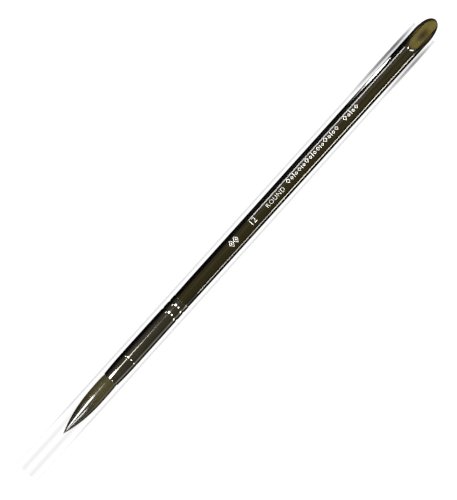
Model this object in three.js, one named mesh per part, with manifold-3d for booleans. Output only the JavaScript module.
// A round artist's brush lying in its clear protective sleeve.
//
// Millimetres, +Z up. The brush lies along X: the tuft points to -X and the slanted end of the handle to +X,
// with its cut face turned up. The origin is the bottom centre of everything together, so the sleeve rests on
// the plane z = 0.

import * as THREE from "three";
import { mergeVertices } from "three/addons/utils/BufferGeometryUtils.js";
import Module from "manifold-3d";

// -------------------------------------------------------------------------------------------------
// Driving dimensions
// -------------------------------------------------------------------------------------------------

const TUFT_LENGTH = 29.2; // filaments outside the ferrule
const FERRULE_LENGTH = 42.8;
const HANDLE_LENGTH = 153.8; // the part of the handle outside the ferrule

const TUFT_BELLY_RADIUS = 3.5;
const TUFT_POINT_LENGTH = 22; // from the tip to the fullest part of the belly
const TUFT_POINT_POWER = 2.3; // how round the point is: 1 is a cone
const TUFT_TIP_RADIUS = 0.06;

const FERRULE_MOUTH_RADIUS = 3.57;
const FERRULE_BODY_RADIUS = 3.93;
const FERRULE_BACK_RADIUS = 3.84;
const FERRULE_WALL = 0.28;
const RING_LINE = { centre: 11.3, halfWidth: 0.4, depth: 0.09 }; // where the mouth's taper meets the tube
const CRIMPS = [
  { centre: 35.6, halfWidth: 0.8, depth: 0.2 },
  { centre: 39.6, halfWidth: 0.8, depth: 0.2 },
];

const HANDLE_FRONT_RADIUS = 3.73;
const HANDLE_WAIST_RADIUS = 3.8;
const HANDLE_END_RADIUS = 4.03;
const BEVEL_LENGTH = 16.5; // along the handle
const BEVEL_EDGE = 0.5; // thickness left at the far end of the slanted cut

const SLEEVE_RADIUS = 6;
const SLEEVE_WALL = 0.5;
const SLEEVE_LENGTH = 240.6;
const SLEEVE_PAST_TIP = 22; // how far the sleeve reaches beyond the tip of the tuft

const SIDES = 32; // round pieces are prisms with this many sides, one of them facing down
const SLIP = 0.03; // clearance between pieces that are glued or crimped together
const RUNNING_GAP = 0.15; // between the brush and the sleeve that it lies in

// -------------------------------------------------------------------------------------------------
// Places along the brush, measured from the tip of the tuft
// -------------------------------------------------------------------------------------------------

const MOUTH_X = TUFT_LENGTH;
const FERRULE_BACK_X = MOUTH_X + FERRULE_LENGTH;
const HANDLE_END_X = FERRULE_BACK_X + HANDLE_LENGTH;

// How far a prism's flat sides lie from its axis, as a share of its radius.
const FACET_SHARE = Math.cos(Math.PI / SIDES);

const SLEEVE_AXIS_Z = SLEEVE_RADIUS * FACET_SHARE;
const SLEEVE_FLOOR_Z = SLEEVE_WALL * FACET_SHARE;
const BRUSH_AXIS_Z = SLEEVE_FLOOR_Z + RUNNING_GAP + HANDLE_END_RADIUS * FACET_SHARE;
const MIDDLE_X = (HANDLE_END_X - SLEEVE_PAST_TIP) / 2; // middle of sleeve and brush together

// -------------------------------------------------------------------------------------------------
// Helpers
// -------------------------------------------------------------------------------------------------

// Turns an outline of [x, radius] points about the X axis. The outline runs from the front to the back along
// the outside, and ends on the axis or comes back along the inside.
function turned(outline) {
  const points = outline.map(([x, radius]) => new THREE.Vector2(radius, x));
  const geometry = new THREE.LatheGeometry(points, SIDES, Math.PI / SIDES);
  geometry.rotateZ(-Math.PI / 2);
  return geometry;
}

// A tube turned about the X axis, from its outer and inner radius at each station.
function turnedTube(stations, outerRadius, innerRadius) {
  const outside = stations.map((x) => [x, outerRadius(x)]);
  const inside = stations.map((x) => [x, innerRadius(x)]).reverse();
  return turned([...outside, ...inside, outside[0]]);
}

function evenly(from, to, count) {
  return Array.from({ length: count + 1 }, (_, i) => from + ((to - from) * i) / count);
}

function blend(from, to, share) {
  return from + (to - from) * Math.min(Math.max(share, 0), 1);
}

const wasm = await Module();
wasm.setup();

function solidOf(geometry) {
  const bare = geometry.clone();
  bare.deleteAttribute("normal");
  bare.deleteAttribute("uv");
  const merged = mergeVertices(bare, 1e-4);
  return new wasm.Manifold(
    new wasm.Mesh({
      numProp: 3,
      vertProperties: new Float32Array(merged.attributes.position.array),
      triVerts: new Uint32Array(merged.index.array),
    }),
  );
}

function geometryOf(solid) {
  const mesh = solid.getMesh();
  const geometry = new THREE.BufferGeometry();
  geometry.setAttribute("position", new THREE.BufferAttribute(mesh.vertProperties, 3));
  geometry.setIndex(new THREE.BufferAttribute(mesh.triVerts, 1));
  geometry.computeVertexNormals();
  return geometry;
}

function cut(geometry, tool) {
  return geometryOf(solidOf(geometry).subtract(solidOf(tool)));
}

function part(name, geometry, material) {
  const mesh = new THREE.Mesh(geometry, material);
  mesh.name = name;
  return mesh;
}

// -------------------------------------------------------------------------------------------------
// Materials
// -------------------------------------------------------------------------------------------------

const smokeAcrylic = new THREE.MeshStandardMaterial({
  color: 0x3c3420,
  roughness: 0.06,
  metalness: 0,
  transparent: true,
  opacity: 0.8,
});
const platedMetal = new THREE.MeshStandardMaterial({ color: 0x5a5a55, roughness: 0.14, metalness: 1 });
const filament = new THREE.MeshStandardMaterial({ color: 0x3a3014, roughness: 0.35, metalness: 0 });
const thread = new THREE.MeshStandardMaterial({ color: 0xd8d2c0, roughness: 0.8, metalness: 0 });
const resin = new THREE.MeshStandardMaterial({ color: 0xb07a2a, roughness: 0.25, metalness: 0 });
const glue = new THREE.MeshStandardMaterial({ color: 0xc9b98a, roughness: 0.4, metalness: 0 });
const clearPlastic = new THREE.MeshStandardMaterial({
  color: 0xf4f6f6,
  roughness: 0.05,
  metalness: 0,
  transparent: true,
  opacity: 0.2,
});

// -------------------------------------------------------------------------------------------------
// Ferrule: one thin tube, tapered at the mouth, with rolled-in lines. s is the distance from its mouth.
// -------------------------------------------------------------------------------------------------

const FERRULE_LINES = [RING_LINE, ...CRIMPS];
const BACK_TAPER_START = 25; // behind here the tube narrows a little towards the crimps

function lineDepth(s) {
  return FERRULE_LINES.reduce((sum, { centre, halfWidth, depth }) => {
    const away = Math.abs(s - centre) / halfWidth;
    return away < 1 ? sum + (depth * (1 + Math.cos(Math.PI * away))) / 2 : sum;
  }, 0);
}

function ferruleOuter(s) {
  const toShoulder = Math.min(s / RING_LINE.centre, 1);
  const mouthTaper = (FERRULE_BODY_RADIUS - FERRULE_MOUTH_RADIUS) * (1 - toShoulder) ** 2;
  const backShare = (s - BACK_TAPER_START) / (FERRULE_LENGTH - BACK_TAPER_START);
  return blend(FERRULE_BODY_RADIUS, FERRULE_BACK_RADIUS, backShare) - mouthTaper - lineDepth(s);
}

function ferruleInner(s) {
  return ferruleOuter(s) - FERRULE_WALL;
}

// Stations shared by every piece that lies against the ferrule's wall, so that their facets stay parallel.
const WALL_STATIONS = [
  ...evenly(0, 10, 5),
  16,
  BACK_TAPER_START,
  FERRULE_LENGTH,
  ...FERRULE_LINES.flatMap(({ centre, halfWidth }) => evenly(centre - halfWidth, centre + halfWidth, 4)),
].sort((a, b) => a - b);

// The shared stations between two places, with those places themselves.
function wallStations(from, to) {
  return [from, ...WALL_STATIONS.filter((s) => s > from + 0.1 && s < to - 0.1), to];
}

function makeFerrule() {
  const geometry = turnedTube(wallStations(0, FERRULE_LENGTH), ferruleOuter, ferruleInner);
  return geometry.translate(MOUTH_X, 0, 0);
}

// -------------------------------------------------------------------------------------------------
// Filaments: the exposed tuft, and the root that is tied and set in resin inside the ferrule
// -------------------------------------------------------------------------------------------------

const TUFT_BASE_GAP = 0.9; // from the mouth, so that the tuft can flex without touching its rim
const TUFT_BASE_RADIUS = 3.19;

function tuftRadius(x) {
  if (x >= TUFT_POINT_LENGTH) {
    const share = (x - TUFT_POINT_LENGTH) / (MOUTH_X - TUFT_POINT_LENGTH);
    return TUFT_BELLY_RADIUS - (TUFT_BELLY_RADIUS - TUFT_BASE_RADIUS) * share ** 2;
  }
  return Math.max(TUFT_TIP_RADIUS, TUFT_BELLY_RADIUS * (1 - (1 - x / TUFT_POINT_LENGTH) ** TUFT_POINT_POWER));
}

function makeTuft() {
  const base = MOUTH_X - TUFT_BASE_GAP;
  const stations = [0, 0.8, ...evenly(2, TUFT_POINT_LENGTH, 9), 26, base];
  return turned([[0, 0], ...stations.map((x) => [x, tuftRadius(x)]), [base, 0]]);
}

const ROOT_LENGTH = 14.5;
const ROOT_FULL_TO = 7; // the root fills the ferrule up to here
const WAIST = { from: 10.8, to: 13.2, radius: 2.55 }; // pulled in by the thread
const ROOT_END_RADIUS = 2.8;

function makeRoot() {
  const full = wallStations(0, ROOT_FULL_TO).map((s) => [s, ferruleInner(s) - 2 * SLIP]);
  const outline = [
    [0, 0],
    ...full,
    [WAIST.from, WAIST.radius],
    [WAIST.to, WAIST.radius],
    [ROOT_LENGTH, ROOT_END_RADIUS],
    [ROOT_LENGTH, 0],
  ];
  return turned(outline).translate(MOUTH_X, 0, 0);
}

const THREAD_DIAMETER = 0.3;
const THREAD_TURNS = 5;
const THREAD_PITCH = 0.37;
const THREAD_STEPS_PER_TURN = 16;
const THREAD_SIDES = 6;
const THREAD_RADIUS = WAIST.radius + THREAD_DIAMETER / 2 + 0.06; // from the axis to the middle of the thread

class ThreadHelix extends THREE.Curve {
  getPoint(share, target = new THREE.Vector3()) {
    const angle = share * THREAD_TURNS * 2 * Math.PI;
    const x = (share - 0.5) * THREAD_TURNS * THREAD_PITCH;
    return target.set(x, THREAD_RADIUS * Math.cos(angle), THREAD_RADIUS * Math.sin(angle));
  }
}

function makeThread() {
  const section = new THREE.Shape();
  for (let i = 0; i < THREAD_SIDES; i += 1) {
    const angle = (i / THREAD_SIDES) * 2 * Math.PI;
    const point = [(THREAD_DIAMETER / 2) * Math.cos(angle), (THREAD_DIAMETER / 2) * Math.sin(angle)];
    if (i === 0) section.moveTo(...point);
    else section.lineTo(...point);
  }
  section.closePath();
  const geometry = new THREE.ExtrudeGeometry(section, {
    steps: THREAD_TURNS * THREAD_STEPS_PER_TURN,
    extrudePath: new ThreadHelix(),
  });
  return geometry.translate(MOUTH_X + (WAIST.from + WAIST.to) / 2, 0, 0);
}

const PLUG_FRONT = 9.5;
const PLUG_BACK = 17;
const PLUG_BORE_RADIUS = 3.05; // clears the thread and the root
const PLUG_HOLLOW = 0.7; // how far the resin's back face is drawn in by its meniscus

function makeEpoxyPlug() {
  const outside = wallStations(PLUG_FRONT, PLUG_BACK).map((s) => [s, ferruleInner(s) - SLIP]);
  const outline = [
    ...outside,
    [PLUG_BACK - PLUG_HOLLOW / 2, 2],
    [PLUG_BACK - PLUG_HOLLOW, 0],
    [ROOT_LENGTH + 2 * SLIP, 0],
    [ROOT_LENGTH + 2 * SLIP, PLUG_BORE_RADIUS],
    [PLUG_FRONT, PLUG_BORE_RADIUS],
    outside[0],
  ];
  return turned(outline).translate(MOUTH_X, 0, 0);
}

// -------------------------------------------------------------------------------------------------
// Handle: a tenon in the ferrule, a rod that widens very gently, and a slanted cut at the far end
// -------------------------------------------------------------------------------------------------

const GLUE_THICKNESS = 0.1;
const TENON_START = 18.5;
const TENON_CHAMFER = 0.8;
const GLUE_START = 20;
const GLUE_END = FERRULE_LENGTH - 0.3;
const HANDLE_WAIST_AT = 10; // behind the ferrule

function glueOuter(s) {
  return ferruleInner(s) - SLIP;
}

function tenonRadius(s) {
  return glueOuter(s) - GLUE_THICKNESS - SLIP;
}

function makeGlueFilm() {
  const glueInner = (s) => glueOuter(s) - GLUE_THICKNESS;
  const geometry = turnedTube(wallStations(GLUE_START, GLUE_END), glueOuter, glueInner);
  return geometry.translate(MOUTH_X, 0, 0);
}

// A block whose lower face is the plane of the slanted cut.
function bevelCutter() {
  const block = { length: 60, width: 20, height: 20 };
  const drop = 2 * HANDLE_END_RADIUS - BEVEL_EDGE;
  const slope = Math.atan2(drop, BEVEL_LENGTH);
  const geometry = new THREE.BoxGeometry(block.length, block.width, block.height);
  geometry.translate(0, 0, block.height / 2);
  geometry.rotateY(slope);
  return geometry.translate(HANDLE_END_X - BEVEL_LENGTH / 2, 0, HANDLE_END_RADIUS - drop / 2);
}

function makeHandle() {
  const tenonStations = wallStations(TENON_START + TENON_CHAMFER, FERRULE_LENGTH);
  const tenon = tenonStations.map((s) => [MOUTH_X + s, tenonRadius(s)]);
  const shoulder = FERRULE_BACK_X + 2 * SLIP;
  const outline = [
    [MOUTH_X + TENON_START, 0],
    [MOUTH_X + TENON_START, tenonRadius(TENON_START) - TENON_CHAMFER / 2],
    ...tenon.slice(0, -1),
    [shoulder, tenonRadius(FERRULE_LENGTH)],
    [shoulder, HANDLE_FRONT_RADIUS],
    [shoulder + HANDLE_WAIST_AT, HANDLE_WAIST_RADIUS],
    [(shoulder + HANDLE_END_X) / 2, (HANDLE_WAIST_RADIUS + HANDLE_END_RADIUS) / 2],
    [HANDLE_END_X - BEVEL_LENGTH - 1, HANDLE_END_RADIUS],
    [HANDLE_END_X, HANDLE_END_RADIUS],
    [HANDLE_END_X, 0],
  ];
  return cut(turned(outline), bevelCutter());
}

// -------------------------------------------------------------------------------------------------
// Clear sleeve: a thin tube, open at both ends
// -------------------------------------------------------------------------------------------------

function makeSleeve() {
  const ends = [-SLEEVE_PAST_TIP, SLEEVE_LENGTH - SLEEVE_PAST_TIP];
  return turnedTube(
    ends,
    () => SLEEVE_RADIUS,
    () => SLEEVE_RADIUS - SLEEVE_WALL,
  );
}

// -------------------------------------------------------------------------------------------------
// Assembly
// -------------------------------------------------------------------------------------------------

const brush = new THREE.Group();
brush.position.set(-MIDDLE_X, 0, BRUSH_AXIS_Z);
brush.add(
  part("acrylic_handle", makeHandle(), smokeAcrylic),
  part("ferrule", makeFerrule(), platedMetal),
  part("filament_tuft", makeTuft(), filament),
  part("filament_root", makeRoot(), filament),
  part("binding_thread", makeThread(), thread),
  part("epoxy_plug", makeEpoxyPlug(), resin),
  part("tenon_glue_film", makeGlueFilm(), glue),
);

const sleeve = part("clear_sleeve", makeSleeve(), clearPlastic);
sleeve.position.set(-MIDDLE_X, 0, SLEEVE_AXIS_Z);

const brushInSleeve = new THREE.Group();
brushInSleeve.add(brush, sleeve);

export default brushInSleeve;
